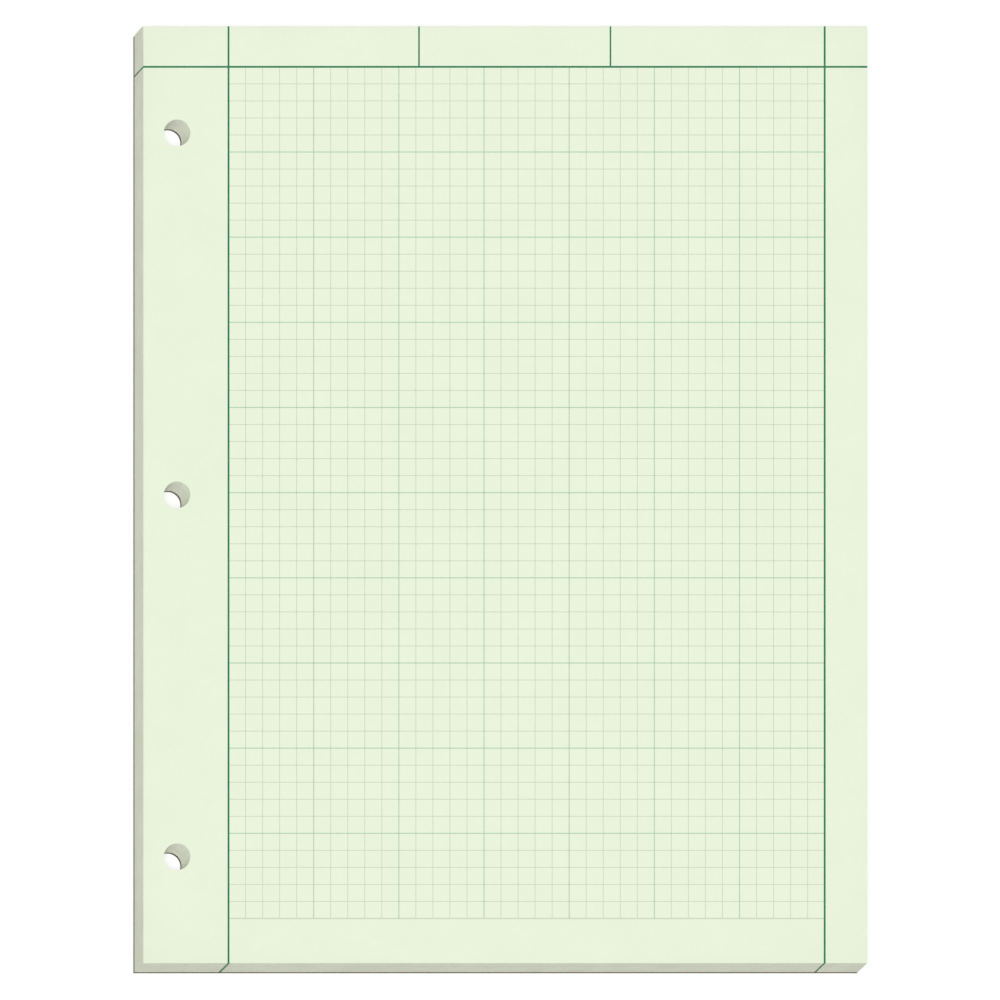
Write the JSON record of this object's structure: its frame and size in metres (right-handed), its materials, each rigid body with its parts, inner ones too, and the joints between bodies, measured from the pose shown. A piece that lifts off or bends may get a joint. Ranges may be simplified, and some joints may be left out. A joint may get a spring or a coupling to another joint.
{
  "type": "engineering computation pad",
  "caption": "Letter-size pad of pale green ruled grid sheets, gummed along the top edge to a chipboard back and punched down the left margin for a ring binder.",
  "frame": {"origin": "centre of the box's lowest face, which is the underside of the backing board", "axes": "+X to the right across the ruled face, +Y towards the gummed top edge, +Z out of the ruled face"},
  "size_m": [0.216, 0.2798, 0.0096],
  "materials": {
    "chipboard": "matte",
    "sheet_paper": "matte",
    "padding_compound": "satin",
    "fine_line_ink": "matte",
    "inch_line_ink": "matte",
    "rule_ink": "matte"
  },
  "bodies": {
    "root": {"backing_board": "chipboard", "sheet_block": "sheet_paper", "padding_glue": "padding_compound", "fine_grid_rows": "fine_line_ink", "fine_grid_columns": "fine_line_ink", "inch_grid": "inch_line_ink", "margin_rules": "rule_ink"}
  },
  "joints": []
}
